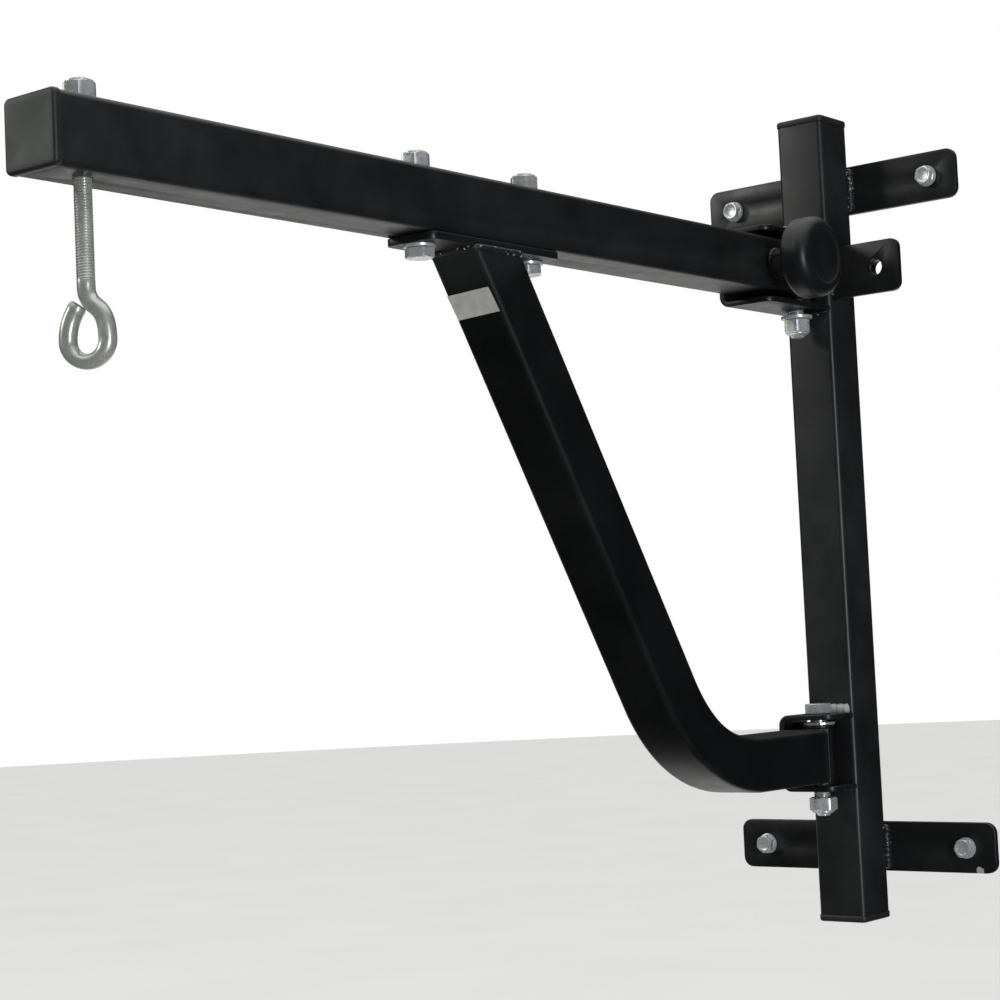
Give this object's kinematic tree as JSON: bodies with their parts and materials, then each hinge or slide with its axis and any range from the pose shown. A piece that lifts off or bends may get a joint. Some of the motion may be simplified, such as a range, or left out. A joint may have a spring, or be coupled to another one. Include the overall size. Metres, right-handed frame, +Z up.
{
  "type": "punch bag wall bracket",
  "caption": "Wall-mounted swing arm for hanging a punch bag: square post on two wall plates, braced arm hinged to it, eye bolt near the free end, hand screw that locks the arm.",
  "frame": {"origin": "centre of the upper wall plate's back face, which lies on the wall", "axes": "+X right along the wall as seen from the room, +Y into the wall, +Z up; the arm stands out along -Y"},
  "size_m": [0.224, 0.8076, 0.6236],
  "materials": {
    "powder_coat": "satin black powder coat",
    "black_plastic": "moulded, fine matt grain",
    "zinc": "bright zinc plate with a faint blue passivation",
    "dull_zinc": "weathered zinc plate on bent round bar",
    "nylon": "natural nylon, moulded",
    "label_film": "blank self-adhesive film"
  },
  "bodies": {
    "wall_frame": {"wall_plate_upper": "powder_coat", "wall_plate_lower": "powder_coat", "anchor_upper_left_bolt": "zinc", "anchor_upper_left_washer": "zinc", "anchor_upper_right_bolt": "zinc", "anchor_upper_right_washer": "zinc", "anchor_lower_left_bolt": "zinc", "anchor_lower_left_washer": "zinc", "anchor_lower_right_bolt": "zinc", "anchor_lower_right_washer": "zinc", "wall_post": "powder_coat", "post_cap_top": "black_plastic", "post_cap_bottom": "black_plastic", "upper_bracket": "powder_coat", "lower_bracket": "powder_coat", "lock_wing_plate": "powder_coat", "wing_weld_nut": "powder_coat", "upper_pivot_bolt": "zinc", "upper_pivot_washer": "zinc", "upper_pivot_nut": "zinc", "lower_pivot_bolt": "zinc", "lower_pivot_nut": "zinc"},
    "arm": {"arm_tube": "powder_coat", "arm_pivot_block": "powder_coat", "arm_bush_top": "nylon", "arm_bush_bottom": "nylon", "arm_thrust_washer_top": "zinc", "arm_thrust_washer_bottom": "zinc", "arm_end_cap": "black_plastic", "brace_tube": "powder_coat", "brace_flange": "powder_coat", "brace_pivot_block": "powder_coat", "brace_bush_top": "nylon", "brace_bush_bottom": "nylon", "brace_thrust_washer_top": "zinc", "brace_bolt_1": "zinc", "brace_bolt_1_washer_lower": "zinc", "brace_bolt_1_washer_upper": "zinc", "brace_bolt_1_nut": "zinc", "brace_bolt_2": "zinc", "brace_bolt_2_washer_lower": "zinc", "brace_bolt_2_washer_upper": "zinc", "brace_bolt_2_nut": "zinc", "brace_label": "label_film", "eye_washer": "zinc", "lock_weld_nut": "powder_coat"},
    "eye": {"eye_bolt": "dull_zinc", "eye_nut": "dull_zinc"},
    "lock_screw": {"lock_screw": "zinc"},
    "lock_knob": {"lock_knob": "black_plastic"}
  },
  "joints": [
    {"name": "arm_swing", "type": "hinge", "parent": "wall_frame", "child": "arm", "pos_m": [0, -0.0628, -0.07], "axis": [0, 0, 1], "range_deg": [0, 36]},
    {"name": "eye_swivel", "type": "hinge", "parent": "arm", "child": "eye", "pos_m": [0, -0.7728, -0.07], "axis": [0, 0, 1], "continuous": true},
    {"name": "lock_travel", "type": "slide", "parent": "arm", "child": "lock_screw", "axis": [1, 0, 0], "range_m": [-0.00525, 0.00875]},
    {"name": "lock_turn", "type": "hinge", "parent": "lock_screw", "child": "lock_knob", "pos_m": [0.036, -0.1208, -0.07], "axis": [1, 0, 0], "range_deg": [-1080, 1800]}
  ],
  "couplings": [
    {"joint": "lock_travel", "follows": "lock_turn", "m_per_rad": 0.00027852}
  ]
}
